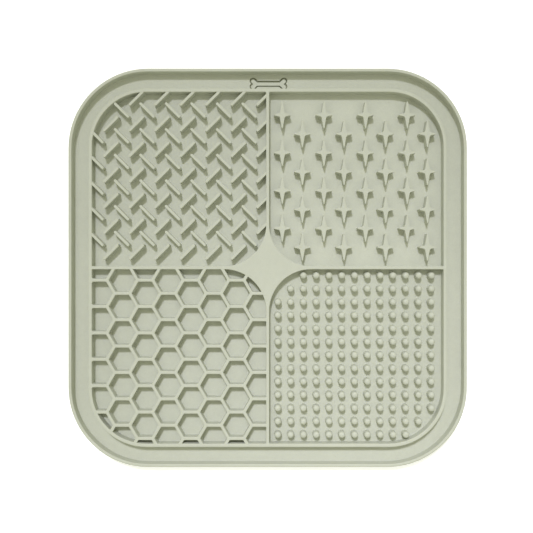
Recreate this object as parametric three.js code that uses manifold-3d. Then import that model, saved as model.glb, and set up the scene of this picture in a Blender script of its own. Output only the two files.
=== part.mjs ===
// Lick mat for pets: a square tray with rounded corners, moulded in one piece from silicone.
// A lip runs round the edge, a ridge runs inside it, and the channel between them catches what spills.
// Two ribs cross inside the ridge and meet in a flat star, which leaves four compartments.
// Each compartment has its own pattern: slanted bars, pointed stars, a honeycomb web and round dots.
// Millimetres, +Z up. The origin is the middle of the underside. +Y points to the edge with the bone.

import * as THREE from 'three';
import { mergeVertices } from 'three/addons/utils/BufferGeometryUtils.js';
import Module from 'manifold-3d';

// Driving dimensions of the tray
const MAT_SIDE = 200;
const MAT_CORNER_RADIUS = 40;
const MAT_HEIGHT = 7;
const FLOOR_THICKNESS = 2;
const LIP_WIDTH = 1.7;
const CHANNEL_WIDTH = 8.4;
const RIDGE_WIDTH = 1.8;
const RIDGE_CORNER_RADIUS = 29;
const RIB_WIDTH = 1.6;
const CROSSING_RADIUS = 21;

// Driving dimensions of the four patterns
const BAR = { length: 10.6, width: 1.5, stepX: 12.8, stepY: 12.87 };
const STAR = {
  width: 8.4, height: 13.8, tipWidth: 0.7, waistX: 1.5, waistY: 1.05, stepX: 20.9, stepY: 18.95,
};
const HONEYCOMB = { acrossFlats: 13.23, webWidth: 1.65 };
const DOT = { diameter: 3.5, stepX: 6.44, stepY: 6.67, clearance: 0.3 };

// Where the first bar, star, cell and dot of each pattern sits, from the middle of the mat
const FALLING_BARS = { x: -9.3, y: 14.7, columns: 7, rows: 6 };
const RISING_BARS = { x: -1.9, y: 7.9, columns: 7, rows: 7 };
const STAR_GROUPS = [
  { x: 7.3, y: 19.8, columns: 4, rows: 4 },
  { x: 17.4, y: 10.3, columns: 4, rows: 4 },
];
const CELLS = { x: -4.2, y: -6.2, columns: 8, rows: 8 };
const DOTS = { x: 5.1, y: -3.9, columns: 13, rows: 13 };

// A bar is left out where its middle lies this far outside a round corner of the compartment
const LOST_BAR = 2;

// The bone is drawn in the floor of the channel by a groove along its outline. The sizes are those of the
// groove's middle line, and each knob runs into the shaft at 45 degrees.
const BONE = {
  x: 0.4, y: 93.6, shaftLength: 12.8, shaftWidth: 2.34,
  knobX: 7.12, knobY: 0.72, knobLength: 4.76, knobWidth: 2.74, groove: 0.6, depth: 0.8,
};

// How finely the round stretches are cut
const CORNER_STEPS = 4;
const DOT_SIDES = 6;
const BAR_END_STEPS = 1;
const KNOB_STEPS = 3;

// Pieces that are joined reach this far into each other, and a cutter reaches this far past a face
const OVERLAP = 0.5;
const PAST = 1;

// Corners closer together than this are one corner
const SAME_POINT = 1e-4;

// The four quarters of the mat, anticlockwise from the one at the back right
const QUARTERS = [[1, 1], [-1, 1], [-1, -1], [1, -1]];

const HALF_SIDE = MAT_SIDE / 2;
const LIP_INNER = HALF_SIDE - LIP_WIDTH;
const RIDGE_OUTER = LIP_INNER - CHANNEL_WIDTH;
const RIDGE_INNER = RIDGE_OUTER - RIDGE_WIDTH;
const RIDGE_INNER_RADIUS = RIDGE_CORNER_RADIUS - RIDGE_WIDTH;
const ROOT = FLOOR_THICKNESS - OVERLAP;

const wasm = await Module();
wasm.setup();

// A closed geometry as a solid that can be joined and cut
function solidOf(geometry) {
  geometry.deleteAttribute('normal');
  geometry.deleteAttribute('uv');
  const merged = mergeVertices(geometry, SAME_POINT);
  return new wasm.Manifold(new wasm.Mesh({
    numProp: 3,
    vertProperties: new Float32Array(merged.attributes.position.array),
    triVerts: new Uint32Array(merged.index.array),
  }));
}

// Upright walls over one outline or many, from one height to another
function prism(shapes, low, high, steps = CORNER_STEPS) {
  const settings = { depth: high - low, bevelEnabled: false, curveSegments: steps };
  const geometry = new THREE.ExtrudeGeometry(shapes, settings);
  return solidOf(geometry.translate(0, 0, low));
}

// A square about the origin with round corners
function roundedSquare(half, radius) {
  const shape = new THREE.Shape();
  const arm = half - radius;
  shape.absarc(arm, arm, radius, 0, Math.PI / 2, false);
  shape.absarc(-arm, arm, radius, Math.PI / 2, Math.PI, false);
  shape.absarc(-arm, -arm, radius, Math.PI, Math.PI * 1.5, false);
  shape.absarc(arm, -arm, radius, Math.PI * 1.5, Math.PI * 2, false);
  shape.closePath();
  return shape;
}

// One compartment: round at the mat's corner and at the crossing, square where rib meets ridge.
// signX and signY say which quarter of the mat it is in, and grow moves its outline into the walls.
function compartment(signX, signY, grow = 0) {
  const near = RIB_WIDTH / 2 - grow;
  const far = RIDGE_INNER + grow;
  const outerRadius = RIDGE_INNER_RADIUS + grow;
  const innerRadius = CROSSING_RADIUS + grow;
  const quarter = new THREE.Shape();
  quarter.moveTo(far, near);
  quarter.lineTo(far, far - outerRadius);
  quarter.absarc(far - outerRadius, far - outerRadius, outerRadius, 0, Math.PI / 2, false);
  quarter.lineTo(near, far);
  quarter.absarc(near + innerRadius, near + innerRadius, innerRadius, Math.PI, Math.PI * 1.5, false);
  quarter.closePath();
  const points = quarter.getPoints(CORNER_STEPS).map((p) => new THREE.Vector2(p.x * signX, p.y * signY));
  return new THREE.Shape(points);
}

// A grid of places that starts at the one nearest the crossing and grows away from it
function grid(first, stepX, stepY) {
  const places = [];
  for (let column = 0; column < first.columns; column += 1) {
    for (let row = 0; row < first.rows; row += 1) {
      places.push({ x: first.x + column * stepX, y: first.y + row * stepY, column, row });
    }
  }
  return places;
}

// How far a place lies inside the round corners of its compartment, below zero when outside them
function cornerRoom(place) {
  const x = Math.abs(place.x);
  const y = Math.abs(place.y);
  const outerMiddle = RIDGE_INNER - RIDGE_INNER_RADIUS;
  const innerMiddle = RIB_WIDTH / 2 + CROSSING_RADIUS;
  if (x > outerMiddle && y > outerMiddle) {
    return RIDGE_INNER_RADIUS - Math.hypot(x - outerMiddle, y - outerMiddle);
  }
  if (x < innerMiddle && y < innerMiddle) {
    return CROSSING_RADIUS - Math.hypot(x - innerMiddle, y - innerMiddle);
  }
  return RIDGE_INNER_RADIUS;
}

// A bar with round ends, turned to run up to the right (45 degrees) or down to the right (-45)
function roundBar(place, degrees, length, width) {
  const radius = width / 2;
  const reach = length / 2 - radius;
  const turn = THREE.MathUtils.degToRad(degrees);
  const endX = place.x + reach * Math.cos(turn);
  const endY = place.y + reach * Math.sin(turn);
  const startX = place.x - reach * Math.cos(turn);
  const startY = place.y - reach * Math.sin(turn);
  const shape = new THREE.Shape();
  shape.absarc(endX, endY, radius, turn - Math.PI / 2, turn + Math.PI / 2, false);
  shape.absarc(startX, startY, radius, turn + Math.PI / 2, turn + Math.PI * 1.5, false);
  shape.closePath();
  return shape;
}

// A four-pointed star: its straight arms narrow from the waist to blunt tips
function starShape(place) {
  const tip = STAR.tipWidth / 2;
  const quarter = [[STAR.width / 2, tip], [STAR.waistX, STAR.waistY], [tip, STAR.height / 2]];
  const points = QUARTERS.flatMap(([signX, signY]) => {
    const corners = signX * signY > 0 ? quarter : [...quarter].reverse();
    return corners.map(([x, y]) => new THREE.Vector2(place.x + signX * x, place.y + signY * y));
  });
  return new THREE.Shape(points);
}

function polygon(place, radius, sides, firstAngle) {
  const points = [];
  for (let side = 0; side < sides; side += 1) {
    const angle = firstAngle + (side * 2 * Math.PI) / sides;
    points.push(new THREE.Vector2(place.x + radius * Math.cos(angle), place.y + radius * Math.sin(angle)));
  }
  return new THREE.Shape(points);
}

// Slanted bars in the upper left compartment, cut off where they run into a wall
function barPattern() {
  const bars = [[FALLING_BARS, -45], [RISING_BARS, 45]].flatMap(([first, degrees]) => (
    grid(first, -BAR.stepX, BAR.stepY)
      .filter((place) => cornerRoom(place) > -LOST_BAR)
      .map((place) => roundBar(place, degrees, BAR.length, BAR.width))
  ));
  const block = prism(bars, ROOT, MAT_HEIGHT, BAR_END_STEPS);
  return block.intersect(prism(compartment(-1, 1, OVERLAP), ROOT, MAT_HEIGHT));
}

// Pointed stars in the upper right compartment, in two grids set between each other
function starPattern() {
  const stars = STAR_GROUPS.flatMap((group) => grid(group, STAR.stepX, STAR.stepY).map(starShape));
  return prism(stars, ROOT, MAT_HEIGHT);
}

// Honeycomb web in the lower left compartment: the whole compartment less its six-sided cells
function honeycombPattern() {
  const columnStep = HONEYCOMB.acrossFlats * Math.cos(Math.PI / 6);
  const cellRadius = (HONEYCOMB.acrossFlats - HONEYCOMB.webWidth) / 2 / Math.cos(Math.PI / 6);
  const cells = grid(CELLS, -columnStep, -HONEYCOMB.acrossFlats).map((place) => {
    const shift = place.column % 2 === 0 ? 0 : HONEYCOMB.acrossFlats / 2;
    return polygon({ x: place.x, y: place.y + shift }, cellRadius, 6, 0);
  });
  const block = prism(compartment(-1, -1, OVERLAP), ROOT, MAT_HEIGHT);
  return block.subtract(prism(cells, 0, MAT_HEIGHT + PAST));
}

// Round dots in the lower right compartment, left out where a whole one doesn't fit
function dotPattern() {
  const fits = (place) => cornerRoom(place) > DOT.diameter / 2 + DOT.clearance;
  const dots = grid(DOTS, DOT.stepX, -DOT.stepY).filter(fits)
    .map((place) => polygon(place, DOT.diameter / 2, DOT_SIDES, Math.PI / DOT_SIDES));
  return prism(dots, ROOT, MAT_HEIGHT);
}

// The bone, a little larger or smaller than its middle line
function boneSolid(grow, low, high) {
  const endX = BONE.shaftLength / 2;
  const endY = BONE.shaftWidth / 2 + grow;
  const corners = QUARTERS.map(([signX, signY]) => new THREE.Vector2(signX * endX, signY * endY));
  let bone = prism(new THREE.Shape(corners), low, high);
  for (const [signX, signY] of QUARTERS) {
    const place = { x: signX * BONE.knobX, y: signY * BONE.knobY };
    const length = BONE.knobLength + 2 * grow;
    const width = BONE.knobWidth + 2 * grow;
    bone = bone.add(prism(roundBar(place, 45 * signX * signY, length, width), low, high, KNOB_STEPS));
  }
  return bone.translate([BONE.x, BONE.y, 0]);
}

function boneGroove() {
  const outside = boneSolid(BONE.groove / 2, FLOOR_THICKNESS - BONE.depth, MAT_HEIGHT);
  return outside.subtract(boneSolid(-BONE.groove / 2, 0, MAT_HEIGHT + PAST));
}

function tray() {
  const floor = prism(roundedSquare(HALF_SIDE, MAT_CORNER_RADIUS), 0, FLOOR_THICKNESS);
  const lipShape = roundedSquare(HALF_SIDE, MAT_CORNER_RADIUS);
  lipShape.holes.push(roundedSquare(LIP_INNER, MAT_CORNER_RADIUS - LIP_WIDTH));
  const lip = prism(lipShape, ROOT, MAT_HEIGHT);
  let walls = prism(roundedSquare(RIDGE_OUTER, RIDGE_CORNER_RADIUS), ROOT, MAT_HEIGHT);
  for (const [signX, signY] of QUARTERS) {
    walls = walls.subtract(prism(compartment(signX, signY), 0, MAT_HEIGHT + PAST));
  }
  return floor.add(lip).add(walls);
}

function meshOf(solid, name, material) {
  const { vertProperties, triVerts, numProp } = solid.getMesh();
  const positions = new Float32Array((vertProperties.length / numProp) * 3);
  for (let vertex = 0; vertex < positions.length / 3; vertex += 1) {
    positions.set(vertProperties.subarray(vertex * numProp, vertex * numProp + 3), vertex * 3);
  }
  const geometry = new THREE.BufferGeometry();
  geometry.setAttribute('position', new THREE.BufferAttribute(positions, 3));
  geometry.setIndex(new THREE.BufferAttribute(new Uint32Array(triVerts), 1));
  geometry.computeVertexNormals();
  const mesh = new THREE.Mesh(geometry, material);
  mesh.name = name;
  return mesh;
}

const mat = tray()
  .add(barPattern())
  .add(starPattern())
  .add(honeycombPattern())
  .add(dotPattern())
  .subtract(boneGroove());

const silicone = new THREE.MeshStandardMaterial({ color: 0xc0c4b0, roughness: 0.62, metalness: 0 });

const group = new THREE.Group();
group.add(meshOf(mat, 'lick_mat', silicone));

export default group;
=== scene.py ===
# %% [markdown]
# # A silicone lick mat, moulded in one piece
#
# The real mat comes out of a two-part mould as one soft piece. It has a thin floor, a lip round the
# edge, a ridge inside the lip, and two ribs that cross in a flat star. What the ribs leave are four
# shallow compartments, each with its own pattern of bars, stars, cells or dots.
#
# A mould is cut, so this lesson cuts too: it starts from a plain blank, takes the hollows out of it
# with shaped cutters, and then stands the small studs on the floor that is left.
#
# Every shape is made in metres, with the mat lying on z = 0 and the bone mark towards +Y.

import math

import bmesh
import bpy
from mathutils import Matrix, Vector


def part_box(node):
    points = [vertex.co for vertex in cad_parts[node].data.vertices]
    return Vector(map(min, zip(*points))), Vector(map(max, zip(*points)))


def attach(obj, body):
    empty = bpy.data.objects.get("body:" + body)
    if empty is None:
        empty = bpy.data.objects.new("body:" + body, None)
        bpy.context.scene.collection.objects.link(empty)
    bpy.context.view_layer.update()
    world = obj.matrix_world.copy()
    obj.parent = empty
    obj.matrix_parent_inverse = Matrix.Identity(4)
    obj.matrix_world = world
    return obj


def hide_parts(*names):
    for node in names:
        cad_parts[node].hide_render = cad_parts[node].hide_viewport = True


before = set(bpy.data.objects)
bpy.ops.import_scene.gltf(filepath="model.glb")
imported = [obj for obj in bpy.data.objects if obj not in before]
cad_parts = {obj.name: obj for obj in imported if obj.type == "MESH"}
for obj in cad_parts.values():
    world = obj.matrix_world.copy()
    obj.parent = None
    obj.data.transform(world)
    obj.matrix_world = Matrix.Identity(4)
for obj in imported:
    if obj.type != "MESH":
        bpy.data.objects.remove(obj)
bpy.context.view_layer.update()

# %% [markdown]
# ## Sizes
#
# The CAD model fixes the outside: its box gives the side and the height of the mat. The widths of
# the walls and the places of the studs repeat the construction's own dimensions, in millimetres,
# and one factor brings them to metres where a shape is made. CORNER, RIDGE_CORNER and CROSSING are
# radii, FLOOR is a thickness, and the others are widths.

# %% Driving sizes
MM = 0.001
low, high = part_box("lick_mat")
HALF_SIDE = (high[0] - low[0]) / 2 / MM
TOP = high[2] / MM

FLOOR = 2.0
CORNER = 40.0
LIP = 1.7
CHANNEL = 8.4
RIDGE = 1.8
RIDGE_CORNER = 29.0
RIB = 1.6
CROSSING = 21.0

LIP_INNER = HALF_SIDE - LIP
RIDGE_OUTER = LIP_INNER - CHANNEL
RIDGE_INNER = RIDGE_OUTER - RIDGE
print("half side", round(HALF_SIDE, 2), "top", round(TOP, 2))
print("ridge from", round(RIDGE_INNER, 2), "to", round(RIDGE_OUTER, 2), "from the middle")

# %% [markdown]
# ## Helpers for a piece
#
# An operator works on whatever is selected, so each piece starts by clearing the selection, and
# faces, edges and corners are then picked by their place. Two places closer than CLOSE, in mm,
# count as the same.
#
# With no window, Blender's rotate turns clockwise for a positive angle, so the angle changes its
# sign here.

# %% Helpers for selecting and turning
CLOSE = 0.01


def clear_selection():
    if bpy.context.mode != "OBJECT":
        bpy.ops.object.mode_set(mode="OBJECT")
    bpy.ops.object.select_all(action="DESELECT")


def choose(piece):
    """Makes the piece the only one selected, and the active one."""
    clear_selection()
    piece.select_set(True)
    bpy.context.view_layer.objects.active = piece


def pick(kind, where):
    """Selects only the corners, edges or faces for which where(x, y, z) is true.

    The kind is VERT, EDGE or FACE, and x, y, z is the middle of one of them, in mm.
    """
    bpy.ops.mesh.select_all(action="DESELECT")
    bpy.ops.mesh.select_mode(type=kind)
    mesh = bpy.context.object.data
    net = bmesh.from_edit_mesh(mesh)
    items = {"VERT": net.verts, "EDGE": net.edges, "FACE": net.faces}[kind]
    for item in items:
        corners = [item] if kind == "VERT" else item.verts
        x, y, z = (sum(v.co[axis] for v in corners) / len(corners) / MM for axis in range(3))
        if where(x, y, z):
            item.select_set(True)
    net.select_flush_mode()
    bmesh.update_edit_mesh(mesh)


def turn(degrees):
    """Turns the selection about the mat's axis, anticlockwise as seen from above."""
    bpy.ops.transform.rotate(
        value=-math.radians(degrees), orient_axis="Z", center_override=(0, 0, 0)
    )


print("picking by place and turning are ready")

# %% [markdown]
# ## Drawing a wall in section
#
# A soft moulding has no sharp edges. Its upper edges are rounded over, and its inner corners are
# filled with a small radius, so that a wall runs into the floor. Seen in section, both are quarter
# circles. One inset for each short step draws them: the inset's thickness moves the outline
# sideways, and its depth moves it along the face's own direction. A cutter starts from a face that
# looks down, and a stud from one that looks up.
#
# A moulded wall also leans a little, by DRAFT over its height, which lets the piece leave the
# mould.
#
# The first step is a lead-in. It starts just before the surface that the shape meets and ends just
# after it, so the two cross at a slight angle. Faces that lie in one plane would give a boolean
# doubled points. An outline is therefore drawn wider than its finished wall, by the grow value of
# its section.

# %% Steps of a section
ARC_STEPS = 4
TOP_RADIUS = 0.28
FOOT_RADIUS = 0.18
DRAFT = 0.08
LEAD_IN = (0.1, 0.02)
BEFORE = LEAD_IN[1] / 2
HEIGHT = TOP - FLOOR


def quarter_out(width, depth, steps=ARC_STEPS):
    """A quarter turn from flat to upright: sideways first, then along."""
    turns = [math.pi / 2 * k / steps for k in range(steps + 1)]
    return [
        (width * (math.sin(b) - math.sin(a)), depth * (math.cos(a) - math.cos(b)))
        for a, b in zip(turns, turns[1:])
    ]


def quarter_in(width, depth, steps=ARC_STEPS):
    """The same turn the other way round: along first, then sideways."""
    return list(reversed(quarter_out(width, depth, steps)))


rim = quarter_out(TOP_RADIUS, TOP_RADIUS)
wall = (DRAFT, HEIGHT - BEFORE - TOP_RADIUS - FOOT_RADIUS)
foot = quarter_in(FOOT_RADIUS, FOOT_RADIUS)
HOLLOW = [LEAD_IN] + rim + [wall] + foot
HOLLOW_GROW = LEAD_IN[0] + TOP_RADIUS + DRAFT / 2
hollow_depth = sum(depth for thickness, depth in HOLLOW)
print("a hollow is drawn in", len(HOLLOW), "steps and", round(hollow_depth, 2), "mm deep")

# %% [markdown]
# ## Outlines
#
# Every outline here starts as a flat plane or circle at its size and place. Rounding a corner of a
# flat face is a bevel of the corner point, not of an edge. Points that come closer than SAME_POINT,
# in mm, are merged afterwards.

# %% Helpers for an outline
SAME_POINT = 0.0005


def rectangle(name, x, y, width, height, level):
    """A flat rectangle, in mm: middle, width, height and the level it lies at."""
    clear_selection()
    bpy.ops.mesh.primitive_plane_add(size=MM)
    piece = bpy.context.object
    piece.name = name
    bpy.ops.object.mode_set(mode="EDIT")
    bpy.ops.mesh.select_all(action="SELECT")
    bpy.ops.transform.resize(value=(width, height, 1))
    bpy.ops.transform.translate(value=(x * MM, y * MM, level * MM))
    return piece


def round_corners(where, reach, segments):
    """Rounds corners. The curve starts at this reach from the corner.

    At a right angle the reach is the radius. Two neighbours rounded by half their distance meet
    in one point, which makes a round end.
    """
    pick("VERT", where)
    bpy.ops.mesh.bevel(offset=reach * MM, segments=segments, affect="VERTICES")
    bpy.ops.mesh.select_all(action="SELECT")
    bpy.ops.mesh.remove_doubles(threshold=SAME_POINT * MM)


def everywhere(x, y, z):
    return True


def select_whole_face():
    bpy.ops.mesh.select_mode(type="FACE")
    bpy.ops.mesh.select_all(action="SELECT")


print("outline helpers are ready")

# %% [markdown]
# ## From an outline to a solid
#
# The section is drawn from the flat face, which leaves the rim of the first face open. That rim is
# filled last, and then all faces are turned outwards, which every boolean needs.

# %% Helpers for a solid
def face_outwards():
    """Turns all faces the same way round, and outwards where the piece is closed."""
    bpy.ops.mesh.select_all(action="SELECT")
    bpy.ops.mesh.normals_make_consistent(inside=False)


def select_open_rims():
    bpy.ops.mesh.select_all(action="DESELECT")
    bpy.ops.mesh.select_mode(type="EDGE")
    bpy.ops.mesh.select_non_manifold()


def draw_section(section):
    for thickness, depth in section:
        bpy.ops.mesh.inset(thickness=thickness * MM, depth=depth * MM, use_even_offset=True)


def close_open_end():
    """Fills the rim where the first face was, and leaves edit mode."""
    select_open_rims()
    bpy.ops.mesh.edge_face_add()
    bpy.ops.mesh.select_mode(type="FACE")
    face_outwards()
    bpy.ops.object.mode_set(mode="OBJECT")


def extrude_up(height):
    """Pulls the selected flat face up into a block."""
    bpy.ops.mesh.extrude_region_move(TRANSFORM_OT_translate={"value": (0, 0, height * MM)})
    face_outwards()


def size_of(piece):
    corners = [v.co for v in piece.data.vertices]
    spans = [(max(c[k] for c in corners) - min(c[k] for c in corners)) / MM for k in range(3)]
    return [round(span, 2) for span in spans]


print("solid helpers are ready")

# %% [markdown]
# ## The blank
#
# From outside, the mat is a square slab with wide round corners. Its upper outer edge is softly
# rounded, and the edge that lies on the table only slightly. A plane with bevelled corners,
# extruded once, gives the slab, and two edge bevels soften it.

# %% Blank
BLANK_CORNER_STEPS = 20
OUTER_EDGE = 0.65
TABLE_EDGE = 0.3
TABLE_EDGE_STEPS = 2

mat = rectangle("silicone_mat", 0, 0, 2 * HALF_SIDE, 2 * HALF_SIDE, 0)
round_corners(everywhere, CORNER, BLANK_CORNER_STEPS)
bpy.ops.mesh.select_all(action="SELECT")
extrude_up(TOP)
pick("EDGE", lambda x, y, z: z > TOP - CLOSE)
bpy.ops.mesh.bevel(offset=OUTER_EDGE * MM, segments=ARC_STEPS, affect="EDGES")
pick("EDGE", lambda x, y, z: z < CLOSE)
bpy.ops.mesh.bevel(offset=TABLE_EDGE * MM, segments=TABLE_EDGE_STEPS, affect="EDGES")
bpy.ops.object.mode_set(mode="OBJECT")
print("blank", size_of(mat), "with", len(mat.data.polygons), "faces")

# %% [markdown]
# ## The channel
#
# Between the lip and the ridge runs a channel that catches what spills. Its cutter is a ring, so it
# starts from two rounded outlines with a bridge of faces between them. The insets then move both
# sides at once.

# %% Channel cutter
SOFT_CORNER_STEPS = 16
CUTTER_LEVEL = TOP + BEFORE


def rounded_square(name, half, radius):
    piece = rectangle(name, 0, 0, 2 * half, 2 * half, CUTTER_LEVEL)
    round_corners(everywhere, radius, SOFT_CORNER_STEPS)
    bpy.ops.object.mode_set(mode="OBJECT")
    return piece


ridge_side = rounded_square("ridge_outline", RIDGE_OUTER - HOLLOW_GROW, RIDGE_CORNER - HOLLOW_GROW)
channel = rounded_square("channel_cutter", LIP_INNER + HOLLOW_GROW, CORNER - LIP + HOLLOW_GROW)
ridge_side.select_set(True)
bpy.ops.object.join()
bpy.ops.object.mode_set(mode="EDIT")
bpy.ops.mesh.select_all(action="SELECT")
bpy.ops.mesh.delete(type="ONLY_FACE")
bpy.ops.mesh.select_all(action="SELECT")
bpy.ops.mesh.bridge_edge_loops()
face_outwards()
net = bmesh.from_edit_mesh(channel.data)
if sum(face.normal.z for face in net.faces) > 0:
    bpy.ops.mesh.flip_normals()
draw_section(HOLLOW)
select_open_rims()
bpy.ops.mesh.bridge_edge_loops()
face_outwards()
bpy.ops.object.mode_set(mode="OBJECT")
print("channel cutter", size_of(channel), "faces", len(channel.data.polygons))

# %% [markdown]
# ## The compartments
#
# Inside the ridge, two ribs cross and leave four compartments. Each is a rectangle with a wide
# round corner at the mat's corner, another at the crossing, and two nearly square corners where a
# rib meets the ridge. The four are mirror images, but each is made from its own rectangle, which
# keeps its faces outwards.

# %% Compartment cutters
SQUARE_CORNER = 0.35
SQUARE_CORNER_STEPS = 3
NEAR = RIB / 2
FAR = RIDGE_INNER
OUTER_CORNER = RIDGE_CORNER - RIDGE


def compartment_outline(name, side_x, side_y, grow, level):
    """One quarter's outline, moved into its walls by grow."""
    span = FAR - NEAR + 2 * grow
    middle = (FAR + NEAR) / 2
    piece = rectangle(name, side_x * middle, side_y * middle, span, span, level)

    def corner(far_x, far_y):
        """A test for the corner that is far from the mat's middle, or near it, in x and in y."""
        return lambda x, y, z: (x * side_x > middle) == far_x and (y * side_y > middle) == far_y

    round_corners(corner(True, True), OUTER_CORNER + grow, SOFT_CORNER_STEPS)
    round_corners(corner(False, False), CROSSING + grow, SOFT_CORNER_STEPS)
    round_corners(corner(True, False), SQUARE_CORNER + grow, SQUARE_CORNER_STEPS)
    round_corners(corner(False, True), SQUARE_CORNER + grow, SQUARE_CORNER_STEPS)
    select_whole_face()
    return piece


def compartment_cutter(name, side_x, side_y):
    piece = compartment_outline(name, side_x, side_y, HOLLOW_GROW, CUTTER_LEVEL)
    bpy.ops.mesh.flip_normals()
    draw_section(HOLLOW)
    close_open_end()
    return piece


bars_room = compartment_cutter("bars_room", -1, 1)
stars_room = compartment_cutter("stars_room", 1, 1)
cells_room = compartment_cutter("cells_room", -1, -1)
dots_room = compartment_cutter("dots_room", 1, -1)
for room in (bars_room, stars_room, cells_room, dots_room):
    print(room.name, size_of(room), "faces", len(room.data.polygons))

# %% [markdown]
# ## Places of a pattern
#
# A pattern is one shape many times over, on a grid. A grid is square-cornered and a compartment
# isn't, so a second helper measures how much room the compartment's round corners leave at a place.

# %% Helpers for places
def grid(first_x, first_y, columns, rows, step_x, step_y):
    """The places of a grid, each as x, y and its column's number."""
    return [
        (first_x + column * step_x, first_y + row * step_y, column)
        for column in range(columns)
        for row in range(rows)
    ]


def corner_room(x, y):
    """How far a place lies inside its compartment's round corners, in mm; below zero is outside."""
    x, y = abs(x), abs(y)
    outer = FAR - OUTER_CORNER
    crossing = NEAR + CROSSING
    if x > outer and y > outer:
        return OUTER_CORNER - math.hypot(x - outer, y - outer)
    if x < crossing and y < crossing:
        return CROSSING - math.hypot(x - crossing, y - crossing)
    return OUTER_CORNER


print("a grid of 2 by 2:", grid(0, 0, 2, 2, 10, 10))

# %% [markdown]
# ## Copies
#
# The shape is modelled once at the middle of the mat, copied with a mesh of its own to each place,
# and the copies are joined into one piece.

# %% Helper for copies
def copies(piece, places, name):
    """Copies the piece to each place, removes the piece itself, and joins the copies."""
    clear_selection()
    for x, y, *_ in places:
        copy = piece.copy()
        copy.data = piece.data.copy()
        copy.location = (x * MM, y * MM, 0)
        bpy.context.collection.objects.link(copy)
        copy.select_set(True)
        bpy.context.view_layer.objects.active = copy
    bpy.ops.object.transform_apply(location=True)
    bpy.ops.object.join()
    joined = bpy.context.object
    joined.name = name
    bpy.data.objects.remove(piece)
    clear_selection()
    return joined


print("copying is ready")

# %% [markdown]
# ## Joining and cutting
#
# A boolean modifier joins two closed pieces, cuts one with the other, or keeps what they share.
# Every piece here is closed, so the manifold solver fits: it is fast, and its result is closed too.

# %% Helper for a boolean
def combine(piece, other, operation):
    """Joins, cuts or intersects a piece with another one, which is used up."""
    choose(piece)
    change = piece.modifiers.new(operation.lower(), "BOOLEAN")
    change.operation = operation
    change.solver = "MANIFOLD"
    change.object = other
    bpy.ops.object.modifier_apply(modifier=change.name)
    bpy.data.objects.remove(other)


print("joining and cutting are ready")

# %% [markdown]
# ## The honeycomb
#
# In the lower left compartment the web of the honeycomb is left standing between six-sided cells.
# Each cell is a hollow with soft upright corners. Seen from its middle, half a side takes up
# CELL_HALF_ANGLE. Its flat sides look to the front and the back, and every other column is half a
# cell further back. Where a cell runs into the compartment's wall it is cut off, so the cells are
# intersected with the compartment's own cutter, which gives the cut cells the same rounded rim.

# %% One cell
CELL_ACROSS = 13.23
WEB = 1.65
CELL_CORNER = 0.35
CELL_CORNER_STEPS = 2
CELL_X, CELL_Y = -4.2, -6.2
CELL_COLUMNS, CELL_ROWS = 8, 8
CELL_SIDES = 6
CELL_HALF_ANGLE = math.pi / CELL_SIDES

cell_half = (CELL_ACROSS - WEB) / 2 + HOLLOW_GROW
clear_selection()
bpy.ops.mesh.primitive_circle_add(
    vertices=CELL_SIDES,
    radius=cell_half / math.cos(CELL_HALF_ANGLE) * MM,
    fill_type="NGON",
    enter_editmode=True,
)
cell = bpy.context.object
bpy.ops.mesh.select_all(action="SELECT")
turn(math.degrees(CELL_HALF_ANGLE))
bpy.ops.transform.translate(value=(0, 0, CUTTER_LEVEL * MM))
cell_reach = (CELL_CORNER + HOLLOW_GROW) * math.tan(CELL_HALF_ANGLE)
round_corners(everywhere, cell_reach, CELL_CORNER_STEPS)
select_whole_face()
bpy.ops.mesh.flip_normals()
draw_section(HOLLOW)
close_open_end()
print("one cell", size_of(cell), "faces", len(cell.data.polygons))

# %% All cells
column_step = CELL_ACROSS * math.cos(CELL_HALF_ANGLE)
cell_grid = grid(CELL_X, CELL_Y, CELL_COLUMNS, CELL_ROWS, -column_step, -CELL_ACROSS)
cell_places = [(x, y + (column % 2) * CELL_ACROSS / 2) for x, y, column in cell_grid]
cells = copies(cell, cell_places, "cells_cutter")
combine(cells, cells_room, "INTERSECT")
print(len(cell_places), "places, cells kept", size_of(cells), "faces", len(cells.data.polygons))

# %% [markdown]
# ## Cutting the blank
#
# The channel, three plain compartments and the honeycomb cells are all that is hollow. None of them
# touches another, so they can be taken away one after the other.

# %% Cut
for cutter in (channel, bars_room, stars_room, cells, dots_room):
    combine(mat, cutter, "DIFFERENCE")
print("cut mat", size_of(mat), "faces", len(mat.data.polygons))

# %% [markdown]
# ## The bone
#
# In the middle of the channel's back stretch a small bone is drawn into the floor, as a friendly
# mark. It is a fine groove along the bone's outline, and inside it the floor keeps its level. So a
# pan of the bone's shape is cut out first, and a slightly smaller bone is stood back in it. Each is
# five shapes in one: a straight one for the shaft, and a short round-ended one for each knob, which
# runs into the shaft at 45 degrees.
#
# The pan looks down and the bone in it looks up, and one section serves for both. The bone in the
# pan sits a little nearer the front, so that the groove is widest along its back, where the
# photograph has it darkest.

# %% Sizes of the bone
BONE_X, BONE_Y = 0.4, 93.6
SHAFT_LENGTH, SHAFT_WIDTH = 12.8, 2.34
KNOB_LENGTH, KNOB_WIDTH = 4.76, 2.74
KNOB_X, KNOB_Y = 7.12, 0.72
KNOB_DEGREES = 45
KNOB_STEPS = 8
GROOVE, GROOVE_DEPTH = 0.7, 0.8
GROOVE_EDGE, GROOVE_EDGE_STEPS = 0.06, 2
GROOVE_DRAFT = 0.04
INSIDE_FORWARD = 0.22

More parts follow.
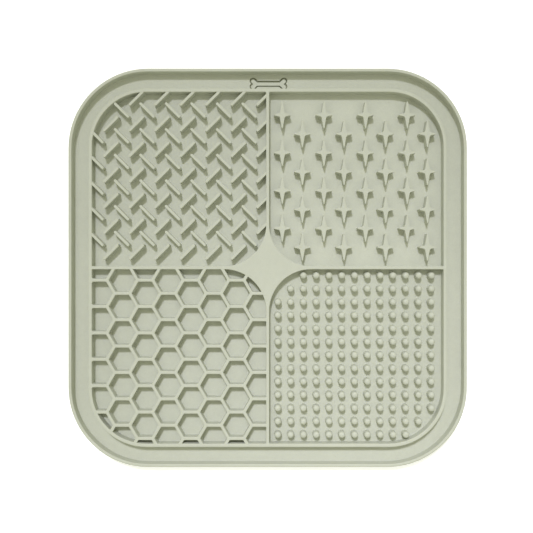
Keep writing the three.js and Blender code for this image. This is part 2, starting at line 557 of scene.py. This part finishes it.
groove_wall = (GROOVE_DRAFT, GROOVE_DEPTH - BEFORE - 2 * GROOVE_EDGE)
groove_edge = quarter_out(GROOVE_EDGE, GROOVE_EDGE, GROOVE_EDGE_STEPS)
groove_foot = quarter_in(GROOVE_EDGE, GROOVE_EDGE, GROOVE_EDGE_STEPS)
GROOVE_SECTION = [LEAD_IN] + groove_edge + [groove_wall] + groove_foot
GROOVE_GROW = LEAD_IN[0] + GROOVE_EDGE + GROOVE_DRAFT / 2

# Each shape of the bone: x, y, length, width, degrees
BONE_SHAPES = [(0, 0, SHAFT_LENGTH, SHAFT_WIDTH, 0)] + [
    (side_x * KNOB_X, side_y * KNOB_Y, KNOB_LENGTH, KNOB_WIDTH, KNOB_DEGREES * side_x * side_y)
    for side_x in (-1, 1)
    for side_y in (-1, 1)
]
print("the bone is", len(BONE_SHAPES), "shapes in one")

# %% Bone
def bone(name, middle_y, level, grow, looks_down):
    """The bone as one closed piece, with each shape's outline moved out by grow."""
    whole = None
    for x, y, length, width, degrees in BONE_SHAPES:
        shape = rectangle(name, 0, 0, length + 2 * grow, width + 2 * grow, level)
        if degrees:
            round_corners(everywhere, width / 2 + grow, KNOB_STEPS)
        select_whole_face()
        turn(degrees)
        bpy.ops.transform.translate(value=((BONE_X + x) * MM, (middle_y + y) * MM, 0))
        if looks_down:
            bpy.ops.mesh.flip_normals()
        draw_section(GROOVE_SECTION)
        close_open_end()
        if whole is None:
            whole = shape
        else:
            combine(whole, shape, "UNION")
    return whole


groove_bottom = FLOOR - GROOVE_DEPTH
pan_grow = GROOVE_GROW + GROOVE / 2
inside_grow = GROOVE_GROW - GROOVE / 2
bone_pan = bone("bone_pan", BONE_Y, FLOOR + BEFORE, pan_grow, True)
bone_inside = bone(
    "bone_inside", BONE_Y - INSIDE_FORWARD, groove_bottom - BEFORE, inside_grow, False
)
print("bone's pan", size_of(bone_pan), "and the bone in it", size_of(bone_inside))
combine(mat, bone_pan, "DIFFERENCE")
combine(mat, bone_inside, "UNION")

# %% [markdown]
# ## Studs: how a stud is drawn
#
# A stud is a hollow turned round. Its outline starts just under the floor, flares out of it with
# the same small radius, goes up with a little draft and is rounded at the top. The stars are as
# high as the walls, and the bars nearly so. The dots are domed, so their rounding takes most of
# their width.

# %% Section of a stud
STUD_LEVEL = FLOOR - BEFORE
STUD_GROW = LEAD_IN[0] + FOOT_RADIUS + DRAFT / 2
FOOT_STEPS = 3


def stud_section(height, top, foot=FOOT_RADIUS, foot_steps=FOOT_STEPS, top_steps=ARC_STEPS):
    """The section of a stud of this height. Its top is the rounding's width and depth."""
    top_width, top_depth = top
    upright = (DRAFT, height - BEFORE - foot - top_depth)
    flare = quarter_out(foot, foot, foot_steps)
    return [LEAD_IN] + flare + [upright] + quarter_in(top_width, top_depth, top_steps)


print("a stud's foot stands", round(STUD_GROW, 2), "mm out from its wall")

# %% [markdown]
# ## Bars
#
# The upper left compartment has short slanted bars in two grids, one falling to the right and one
# rising. A bar that runs into a wall is cut off inside it, by a plain block of the compartment's
# outline that reaches a little way into the walls.

# %% Sizes of the bars
BAR_LENGTH, BAR_WIDTH = 10.6, 1.5
BAR_BELOW_WALLS = 0.1
BAR_END_STEPS = 5
BAR_DEGREES = 45
BAR_STEP_X, BAR_STEP_Y = 12.8, 12.87
BAR_OUTSIDE = 2.0
INTO_WALL = 0.7
CLIP_BELOW_FLOOR = 1.0

# Each grid of bars: first x, first y, columns, rows
FALLING_BARS = (-9.3, 14.7, 7, 6)
RISING_BARS = (-1.9, 7.9, 7, 7)
print("a bar is", BAR_LENGTH, "by", BAR_WIDTH, "mm")

# %% Helpers for bars
def bar(degrees):
    """One bar at the middle of the mat, turned by this angle."""
    length, width = BAR_LENGTH + 2 * STUD_GROW, BAR_WIDTH + 2 * STUD_GROW
    piece = rectangle("bar", 0, 0, length, width, STUD_LEVEL)
    round_corners(everywhere, width / 2, BAR_END_STEPS)
    select_whole_face()
    turn(degrees)
    draw_section(stud_section(HEIGHT - BAR_BELOW_WALLS, (TOP_RADIUS, TOP_RADIUS)))
    close_open_end()
    return piece


def bar_places(bar_grid):
    """The grid's places, without those more than BAR_OUTSIDE mm outside the round corners."""
    places = grid(*bar_grid, -BAR_STEP_X, BAR_STEP_Y)
    return [place for place in places if corner_room(*place[:2]) > -BAR_OUTSIDE]


falling_places = bar_places(FALLING_BARS)
rising_places = bar_places(RISING_BARS)
print(len(falling_places), "falling and", len(rising_places), "rising bars")

# %% All bars
bars = copies(bar(-BAR_DEGREES), falling_places, "bars")
rising = copies(bar(BAR_DEGREES), rising_places, "rising_bars")
combine(bars, rising, "UNION")
clip = compartment_outline("bars_clip", -1, 1, INTO_WALL, FLOOR - CLIP_BELOW_FLOOR)
extrude_up(TOP)
bpy.ops.object.mode_set(mode="OBJECT")
combine(bars, clip, "INTERSECT")
print("bars", size_of(bars), "faces", len(bars.data.polygons))

# %% [markdown]
# ## Stars
#
# The upper right compartment has stars with four straight arms that narrow to blunt tips. They
# stand on two grids, one set between the places of the other. The outline starts as a small block.
# Each of its edges is pulled out into an arm and narrowed at its end, and the faces are made one.
# The tips are rounded, and so are the inner corners where two arms meet. The tips are so narrow
# that a star gets a smaller foot and upper edge than a wall.

# %% Sizes of the stars
STAR_WIDTH, STAR_LENGTH = 8.3, 13.7
TIP_WIDTH, TIP_STEPS = 0.5, 2
WAIST_X, WAIST_Y = 1.3, 0.88
WAIST_ROUND, WAIST_STEPS = 0.45, 3
STAR_FOOT = 0.08
STAR_TOP = 0.2
STAR_GROW = LEAD_IN[0] + STAR_FOOT + DRAFT / 2
STAR_STEP_X, STAR_STEP_Y = 20.9, 18.95

# Each grid of stars: first x, first y, columns, rows
STAR_GRIDS = [(7.3, 19.8, 4, 4), (17.4, 10.3, 4, 4)]
print("a star is", STAR_WIDTH, "by", STAR_LENGTH, "mm")

# %% One star
def star():
    """One star at the middle of the mat."""
    waist_x, waist_y = WAIST_X + STAR_GROW, WAIST_Y + STAR_GROW
    arm_x, arm_y = STAR_WIDTH / 2 + STAR_GROW, STAR_LENGTH / 2 + STAR_GROW
    tip = TIP_WIDTH / 2 + STAR_GROW

    def at_tip(x, y, z):
        return abs(x) > arm_x - CLOSE or abs(y) > arm_y - CLOSE

    def at_waist(x, y, z):
        return abs(x) < waist_x + CLOSE and abs(y) < waist_y + CLOSE

    piece = rectangle("star", 0, 0, 2 * waist_x, 2 * waist_y, STUD_LEVEL)
    for side in (-1, 1):
        pick("EDGE", lambda x, y, z: x * side > waist_x - CLOSE)
        bpy.ops.mesh.extrude_region_move(
            TRANSFORM_OT_translate={"value": (side * (arm_x - waist_x) * MM, 0, 0)}
        )
        bpy.ops.transform.resize(value=(1, tip / waist_y, 1), center_override=(0, 0, 0))
        pick("EDGE", lambda x, y, z: y * side > waist_y - CLOSE and abs(x) < CLOSE)
        bpy.ops.mesh.extrude_region_move(
            TRANSFORM_OT_translate={"value": (0, side * (arm_y - waist_y) * MM, 0)}
        )
        bpy.ops.transform.resize(value=(tip / waist_x, 1, 1), center_override=(0, 0, 0))
    select_whole_face()
    bpy.ops.mesh.dissolve_faces()
    round_corners(at_tip, tip, TIP_STEPS)
    round_corners(at_waist, WAIST_ROUND, WAIST_STEPS)
    select_whole_face()
    draw_section(stud_section(HEIGHT, (STAR_TOP, STAR_TOP), STAR_FOOT))
    close_open_end()
    return piece


one_star = star()
print("one star", size_of(one_star), "faces", len(one_star.data.polygons))

# %% All stars
star_places = [
    place for star_grid in STAR_GRIDS for place in grid(*star_grid, STAR_STEP_X, STAR_STEP_Y)
]
stars = copies(one_star, star_places, "stars")
print(len(star_places), "stars", size_of(stars), "faces", len(stars.data.polygons))

# %% [markdown]
# ## Dots
#
# The lower right compartment has rows of small round dots, wherever a whole one fits inside the
# compartment's round corners. There are more than a hundred and fifty, so each has few faces:
# twelve sides, one step at its foot and three in its dome.

# %% One dot
DOT_DIAMETER = 3.5
DOT_SIDES = 12
DOT_BELOW_WALLS = 0.15
DOT_FOOT_STEPS = 1
DOT_DOME, DOT_DOME_STEPS = (1.3, 1.1), 3

clear_selection()
bpy.ops.mesh.primitive_circle_add(
    vertices=DOT_SIDES,
    radius=(DOT_DIAMETER / 2 + STUD_GROW) * MM,
    fill_type="NGON",
    enter_editmode=True,
)
dot = bpy.context.object
bpy.ops.mesh.select_all(action="SELECT")
bpy.ops.transform.translate(value=(0, 0, STUD_LEVEL * MM))
select_whole_face()
dot_section = stud_section(
    HEIGHT - DOT_BELOW_WALLS, DOT_DOME, foot_steps=DOT_FOOT_STEPS, top_steps=DOT_DOME_STEPS
)
draw_section(dot_section)
close_open_end()
print("one dot", size_of(dot), "faces", len(dot.data.polygons))

# %% All dots
DOT_STEP_X, DOT_STEP_Y = 6.44, 6.67
DOT_CLEARANCE = 0.3

# The grid of dots: first x, first y, columns, rows
DOTS = (5.1, -3.9, 13, 13)

dot_places = [
    place
    for place in grid(*DOTS, DOT_STEP_X, -DOT_STEP_Y)
    if corner_room(*place[:2]) > DOT_DIAMETER / 2 + DOT_CLEARANCE
]
dots = copies(dot, dot_places, "dots")
print(len(dot_places), "dots", size_of(dots))

# %% [markdown]
# ## One moulding
#
# The studs grow out of the floor, so they are joined with the mat into one closed skin. Points that
# the cuts left on top of each other are merged.

# %% Join the studs
for studs in (bars, stars, dots):
    combine(mat, studs, "UNION")
choose(mat)
bpy.ops.object.mode_set(mode="EDIT")
bpy.ops.mesh.select_all(action="SELECT")
bpy.ops.mesh.remove_doubles(threshold=SAME_POINT * MM)
face_outwards()
bpy.ops.object.mode_set(mode="OBJECT")
print("whole mat", size_of(mat), "faces", len(mat.data.polygons))

# %% [markdown]
# ## Smooth shading
#
# Round edges should shade as round and flat floors as flat. Smooth by angle keeps only the real
# creases sharp, and weighted normals let the large flat faces decide the shading at their borders.

# %% Shading
CREASE_DEGREES = 42
choose(mat)
bpy.ops.object.shade_smooth_by_angle(angle=math.radians(CREASE_DEGREES))
flat_floors = mat.modifiers.new("flat_floors", "WEIGHTED_NORMAL")
flat_floors.keep_sharp = True
bpy.ops.object.modifier_apply(modifier=flat_floors.name)
triangles = sum(len(face.vertices) - 2 for face in mat.data.polygons)
print("triangles", triangles)

# %% [markdown]
# ## Nodes in code
#
# A material is a tree of nodes. One helper adds a node. The other fills one of its sockets: with a
# link where the value comes out of another node, and else with a plain number or colour.

# %% Helpers for any node
def node(tree, kind, place, **settings):
    new = tree.nodes.new(kind)
    new.location = place
    for name, value in settings.items():
        setattr(new, name, value)
    return new


def feed(tree, value, socket):
    """Links a node's output to a socket, or sets the socket to a plain number or colour."""
    if isinstance(value, bpy.types.NodeSocket):
        tree.links.new(value, socket)
    else:
        socket.default_value = value


print("adding and linking nodes is ready")

# %% [markdown]
# ## Nodes that work out a value
#
# Noise gives a value that wanders between 0 and 1, Map Range moves it into the range that is
# wanted, and Math and Mix put values and colours together. Each helper adds one such node and
# returns what comes out of it, so that a material below reads as a recipe.

# %% Helpers for values and colours
def noise(tree, place, coordinates, scale, detail, roughness):
    made = node(tree, "ShaderNodeTexNoise", place)
    feed(tree, coordinates, made.inputs["Vector"])
    feed(tree, scale, made.inputs["Scale"])
    made.inputs["Detail"].default_value = detail
    made.inputs["Roughness"].default_value = roughness
    return made.outputs["Fac"]


def spread(tree, place, value, from_range, to_range):
    """Moves a value from one range to another, each given as its low and its high end."""
    made = node(tree, "ShaderNodeMapRange", place)
    feed(tree, value, made.inputs["Value"])
    made.inputs["From Min"].default_value, made.inputs["From Max"].default_value = from_range
    made.inputs["To Min"].default_value, made.inputs["To Max"].default_value = to_range
    return made.outputs["Result"]


def added(tree, place, first, second):
    """Adds up two values."""
    made = node(tree, "ShaderNodeMath", place, operation="ADD")
    feed(tree, first, made.inputs[0])
    feed(tree, second, made.inputs[1])
    return made.outputs["Value"]


def vector_maths(tree, place, operation, first, second=None):
    """Returns all outputs, because a length comes out of Value and a place out of Vector."""
    made = node(tree, "ShaderNodeVectorMath", place, operation=operation)
    feed(tree, first, made.inputs[0])
    if second is not None:
        feed(tree, second, made.inputs[1])
    return made.outputs


def mixed(tree, place, share, first, second):
    """Mixes two colours. The share of the second one goes from 0 to 1."""
    made = node(tree, "ShaderNodeMix", place, data_type="RGBA")
    feed(tree, share, made.inputs["Factor"])
    feed(tree, first, made.inputs["A"])
    feed(tree, second, made.inputs["B"])
    return made.outputs["Result"]


print("noise, spread, added, vector_maths and mixed are ready")

# %% [markdown]
# ## A new material
#
# A material starts with a Principled shader. What is the same all over the surface is set on that
# shader's own sockets. What changes over the surface comes from nodes that read the object's own
# coordinates.

# %% Helpers for a material
def object_coordinates(tree, place):
    return node(tree, "ShaderNodeTexCoord", place).outputs["Object"]


def new_material(name):
    """A new material, its tree of nodes and its shader."""
    material = bpy.data.materials.new(name)
    material.use_nodes = True
    return material, material.node_tree, material.node_tree.nodes["Principled BSDF"]


def set_sockets(shader, values):
    """Sets what is the same all over a surface on the shader's own sockets."""
    for name, value in values.items():
        shader.inputs[name].default_value = value


print("material helpers are ready")

# %% [markdown]
# ## Grain
#
# Both the silicone and the paper under it have a fine grain, on slow clouds that are several times
# as wide. The two share one group, which each material gives its own sizes: a scale of 2300, in
# metres, is a grain of somewhat under half a millimetre. It puts out the grain and the clouds, both
# from 0 to 1.

# %% Shared grain
WHOLE_RANGE = (0.0, 1.0)
FINE_RANGE, SLOW_RANGE = (0.25, 0.75), (0.3, 0.7)

# Detail and roughness of each noise
FINE_NOISE, SLOW_NOISE = (2.0, 0.7), (3.0, 0.55)


def grain_group():
    group = bpy.data.node_groups.new("soft_grain", "ShaderNodeTree")
    group.interface.new_socket("Place", in_out="INPUT", socket_type="NodeSocketVector")
    group.interface.new_socket("Grain Scale", in_out="INPUT", socket_type="NodeSocketFloat")
    group.interface.new_socket("Cloud Scale", in_out="INPUT", socket_type="NodeSocketFloat")
    group.interface.new_socket("Grain", in_out="OUTPUT", socket_type="NodeSocketFloat")
    group.interface.new_socket("Cloud", in_out="OUTPUT", socket_type="NodeSocketFloat")
    given = node(group, "NodeGroupInput", (-600, 0)).outputs
    result = node(group, "NodeGroupOutput", (300, 0)).inputs
    fine = noise(group, (-300, 150), given["Place"], given["Grain Scale"], *FINE_NOISE)
    slow = noise(group, (-300, -150), given["Place"], given["Cloud Scale"], *SLOW_NOISE)
    feed(group, spread(group, (0, 150), fine, FINE_RANGE, WHOLE_RANGE), result["Grain"])
    feed(group, spread(group, (0, -150), slow, SLOW_RANGE, WHOLE_RANGE), result["Cloud"])
    return group


GRAIN = grain_group()


def add_grain(tree, place, coordinates, grain_scale, cloud_scale):
    made = node(tree, "ShaderNodeGroup", place, node_tree=GRAIN)
    feed(tree, coordinates, made.inputs["Place"])
    made.inputs["Grain Scale"].default_value = grain_scale
    made.inputs["Cloud Scale"].default_value = cloud_scale
    return made.outputs["Grain"], made.outputs["Cloud"]


print("group", GRAIN.name, "has", len(GRAIN.nodes), "nodes")

# %% [markdown]
# ## The silicone
#
# The mat is matt sage green silicone. Its thin floor is painted paler than the thick walls: painted
# light, which stands in for the white under the floor showing through it and lightens the shade
# that the walls leave in the hollows. The colour goes from the painted pale floor to the walls'
# tone by height. All of the material is worked out from the mat's own coordinates, so it stays on
# the mat when the mat moves.

# %% Silicone: painted light on the floor, by height
SAGE = (0.455, 0.475, 0.380, 1)
# painted light: the floor's colour is paler than the walls', for light through the thin floor
SAGE_PAINTED_LIGHT_FLOOR = (0.500, 0.520, 0.420, 1)
PAINTED_LIGHT_UP_TO = FLOOR - 0.5
PAINTED_LIGHT_ENDS_AT = FLOOR + 1.5

silicone, tree, shader = new_material("sage_silicone")
coordinates = object_coordinates(tree, (-1700, 0))
split = node(tree, "ShaderNodeSeparateXYZ", (-1500, 300))
feed(tree, coordinates, split.inputs["Vector"])
painted_light_heights = (PAINTED_LIGHT_UP_TO * MM, PAINTED_LIGHT_ENDS_AT * MM)
# the share of the walls' colour; below these heights the floor's painted light takes over
wall_share = spread(tree, (-1300, 300), split.outputs["Z"], painted_light_heights, WHOLE_RANGE)
base = mixed(tree, (-1100, 300), wall_share, SAGE_PAINTED_LIGHT_FLOOR, SAGE)
print("the colour changes from", PAINTED_LIGHT_UP_TO, "to", PAINTED_LIGHT_ENDS_AT, "mm above the table")

# %% [markdown]
# ## The silicone's tone
#
# The colour drifts a little over the piece, and close up it shows a fine grain. Drift, clouds and
# grain are added up to one tone near 1, which makes the colour lighter or darker and leaves its hue
# alone.

# %% Silicone: tone
DRIFT_SCALE, CLOUD_SCALE, GRAIN_SCALE = 30.0, 330.0, 2300.0
DRIFT_NOISE = (3.0, 0.5)
DRIFT, CLOUD, SCATTER = 0.015, 0.02, 0.05

drift = noise(tree, (-1300, 0), coordinates, DRIFT_SCALE, *DRIFT_NOISE)
grain, cloud = add_grain(tree, (-1300, -200), coordinates, GRAIN_SCALE, CLOUD_SCALE)
tone = spread(tree, (-1100, 0), drift, SLOW_RANGE, (1 - DRIFT, 1 + DRIFT))
clouded = spread(tree, (-1100, -150), cloud, WHOLE_RANGE, (-CLOUD, CLOUD))
tone = added(tree, (-900, 0), tone, clouded)
scattered = spread(tree, (-900, -150), grain, WHOLE_RANGE, (-SCATTER, SCATTER))
tone = added(tree, (-700, 0), tone, scattered)
toned = node(tree, "ShaderNodeVectorMath", (-500, 150), operation="SCALE")
feed(tree, base, toned.inputs[0])
feed(tree, tone, toned.inputs["Scale"])
most = DRIFT + CLOUD + SCATTER
print("the tone goes from", round(1 - most, 3), "to", round(1 + most, 3))

# %% [markdown]
# ## Painted shade in the groove
#
# The bone's narrow groove is painted a dark olive: painted shade, which stands in for the shade
# deep in the groove. It lies in a flat ellipsoid round the groove's bottom, which ends below the
# floor's level and inside the outer wall. A place is in it where its distance from the middle,
# measured in the ellipsoid's own half sizes, is under 1. The painted shade fades out over the last
# part of that distance.

# %% Silicone: painted shade in the groove
# painted shade: a dark olive colour painted into the bone's groove
GROOVE_PAINTED_SHADE = (0.160, 0.170, 0.085, 1)
PAINTED_SHADE_MIDDLE = (BONE_X, BONE_Y, groove_bottom)
PAINTED_SHADE_REACH = (16.0, 6.2, 0.78)
PAINTED_SHADE_SHARE = 0.75
PAINTED_SHADE_FADE = (0.8, 1.0)

painted_shade_middle = [size * MM for size in PAINTED_SHADE_MIDDLE]
painted_shade_reach = [size * MM for size in PAINTED_SHADE_REACH]
from_bone = vector_maths(tree, (-1300, 600), "SUBTRACT", coordinates, painted_shade_middle)["Vector"]
in_reach = vector_maths(tree, (-1100, 600), "DIVIDE", from_bone, painted_shade_reach)["Vector"]
distance = vector_maths(tree, (-900, 600), "LENGTH", in_reach)["Value"]
# the share of painted shade, full inside the ellipsoid and fading out at its edge
painted_shade = spread(tree, (-700, 600), distance, PAINTED_SHADE_FADE, (PAINTED_SHADE_SHARE, 0.0))
# mixes the painted shade into the silicone's colour
colour = mixed(tree, (-300, 150), painted_shade, toned.outputs["Vector"], GROOVE_PAINTED_SHADE)
feed(tree, colour, shader.inputs["Base Color"])
print("the film reaches", PAINTED_SHADE_REACH, "mm from the middle of the bone")

# %% [markdown]
# ## The silicone's surface
#
# Silicone is matt, with a faint sheen. Its grain shows as a bump far finer than the walls' shapes.
# Light enters it a short way, red and green deeper than blue, which keeps the shadows in the
# hollows soft and yellowish. What is the same all over is set on the shader itself.

# %% Silicone: surface
ROUGHNESS = (0.55, 0.65)
BUMP_STRENGTH = 0.35
BUMP_DEPTH = 0.00006
SURFACE = {
    "Subsurface Weight": 0.15,
    "Subsurface Radius": (1.0, 0.95, 0.6),
    "Subsurface Scale": 0.001,
    "Specular IOR Level": 0.4,
    "Sheen Weight": 0.05,
    "Sheen Roughness": 0.5,
}

roughness = spread(tree, (-500, -100), cloud, WHOLE_RANGE, ROUGHNESS)
feed(tree, roughness, shader.inputs["Roughness"])
bump = node(tree, "ShaderNodeBump", (-300, -300))
bump.inputs["Strength"].default_value = BUMP_STRENGTH
bump.inputs["Distance"].default_value = BUMP_DEPTH
feed(tree, added(tree, (-500, -300), grain, cloud), bump.inputs["Height"])
feed(tree, bump.outputs["Normal"], shader.inputs["Normal"])
set_sockets(shader, SURFACE)
mat.data.materials.clear()
mat.data.materials.append(silicone)
print("silicone has", len(tree.nodes), "nodes")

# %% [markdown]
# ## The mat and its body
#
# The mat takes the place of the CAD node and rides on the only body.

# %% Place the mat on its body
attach(mat, "root")
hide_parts("lick_mat")

# %% [markdown]
# ## The floor
#
# The photograph shows the mat on plain white, as on a table that glows a little. So the pale plane
# under the mat gives off some light of its own, which leaves only a faint shadow round the mat.

# %% Floor
FLOOR_SIZE = 3.0
FLOOR_GAP = 0.00005
PAPER_GRAIN_SCALE, PAPER_CLOUD_SCALE = 900.0, 60.0
PAPER_ROUGHNESS = (0.85, 0.95)
PAPER = {
    "Base Color": (0.93, 0.93, 0.92, 1),
    "Specular IOR Level": 0.1,
    "Emission Color": (1.0, 1.0, 1.0, 1),
    "Emission Strength": 0.35,
}

clear_selection()
bpy.ops.mesh.primitive_plane_add(size=FLOOR_SIZE, location=(0, 0, -FLOOR_GAP))
ground = bpy.context.object
ground.name = "pale_floor"
bpy.ops.object.transform_apply(location=True)

paper, tree, shader = new_material("pale_paper")
coordinates = object_coordinates(tree, (-800, 0))
paper_grain = add_grain(tree, (-600, 0), coordinates, PAPER_GRAIN_SCALE, PAPER_CLOUD_SCALE)[0]
roughness = spread(tree, (-300, 0), paper_grain, WHOLE_RANGE, PAPER_ROUGHNESS)
feed(tree, roughness, shader.inputs["Roughness"])
set_sockets(shader, PAPER)
ground.data.materials.append(paper)
print("the floor is", FLOOR_SIZE, "m wide")

# %% [markdown]
# ## Light
#
# One lamp lights the photograph from behind and a little from the left. Every wall throws a short
# shadow towards the viewer, and what it doesn't reach is lit evenly by a pale room. The lamp's beam
# is brightest at the front of the mat and fades towards the back left corner. A spot with a soft
# edge does that: its size gives the shadows their narrow soft border, and its aim puts the middle
# of the beam in front of the mat.

# %% Lamp
LAMP_DIRECTION = (-0.75, 3.1, 5.0)
LAMP_DISTANCE = 3.0
LAMP_AIM = (0.035, -0.12, 0.0)
LAMP_WIDTH_DEGREES = 9.0
BEAM_DEGREES = 10.9
LAMP_POWER = 445.0
LAMP_COLOUR = (0.90, 0.885, 1.05)
BEAM_SOFTNESS = 1.0

to_lamp = Vector(LAMP_DIRECTION).normalized()
clear_selection()
bpy.ops.object.light_add(
    type="SPOT",
    location=Vector(LAMP_AIM) + to_lamp * LAMP_DISTANCE,
    rotation=to_lamp.to_track_quat("Z", "Y").to_euler(),
)
lamp = bpy.context.object
lamp.name = "lamp"
lamp.data.energy = LAMP_POWER
lamp.data.color = LAMP_COLOUR
lamp.data.shadow_soft_size = LAMP_DISTANCE * math.tan(math.radians(LAMP_WIDTH_DEGREES / 2))
lamp.data.spot_size = math.radians(BEAM_DEGREES)
lamp.data.spot_blend = BEAM_SOFTNESS
print("lamp at", [round(value, 2) for value in lamp.location])

# %% [markdown]
# ## Room
#
# The room's light comes evenly from all sides. It is a little yellow, so the shadows are yellower
# than what the bluish lamp lights. The Standard view transform keeps white paper white.

# %% Room
ROOM = (1.0, 1.0, 0.85, 1)
ROOM_STRENGTH = 0.75

world = bpy.data.worlds.new("pale_room")
bpy.context.scene.world = world
world.use_nodes = True
background = world.node_tree.nodes["Background"]
background.inputs["Color"].default_value = ROOM
background.inputs["Strength"].default_value = ROOM_STRENGTH
bpy.context.scene.view_settings.view_transform = "Standard"
bpy.context.scene.view_settings.look = "None"
print("the room's strength is", ROOM_STRENGTH)

# %% [markdown]
# ## Camera
#
# The photograph is taken from straight above. Its lens stands about a third of a metre over the
# mat, near enough for the walls away from the middle to show their inner faces. The frame is
# VIEW_WIDTH_AT_TOP wide, in mm, on the plane of the walls' tops, and that gives the focal length.

# %% Camera
SENSOR = 36.0
VIEW_WIDTH_AT_TOP = 267.0
CAMERA_ABOVE_TOP = 330.0
CAMERA_X, CAMERA_Y = -0.6, 0.65
CAMERA_PLACE = (CAMERA_X, CAMERA_Y, TOP + CAMERA_ABOVE_TOP)
NEAREST_SEEN = 0.01

camera_place = [size * MM for size in CAMERA_PLACE]
bpy.ops.object.camera_add(location=camera_place, rotation=(0, 0, 0))
camera = bpy.context.object
camera.name = "camera_above"
camera.data.sensor_width = SENSOR
camera.data.lens = SENSOR * CAMERA_ABOVE_TOP / VIEW_WIDTH_AT_TOP
camera.data.clip_start = NEAREST_SEEN
bpy.context.scene.camera = camera
print("lens", round(camera.data.lens, 2), "mm")
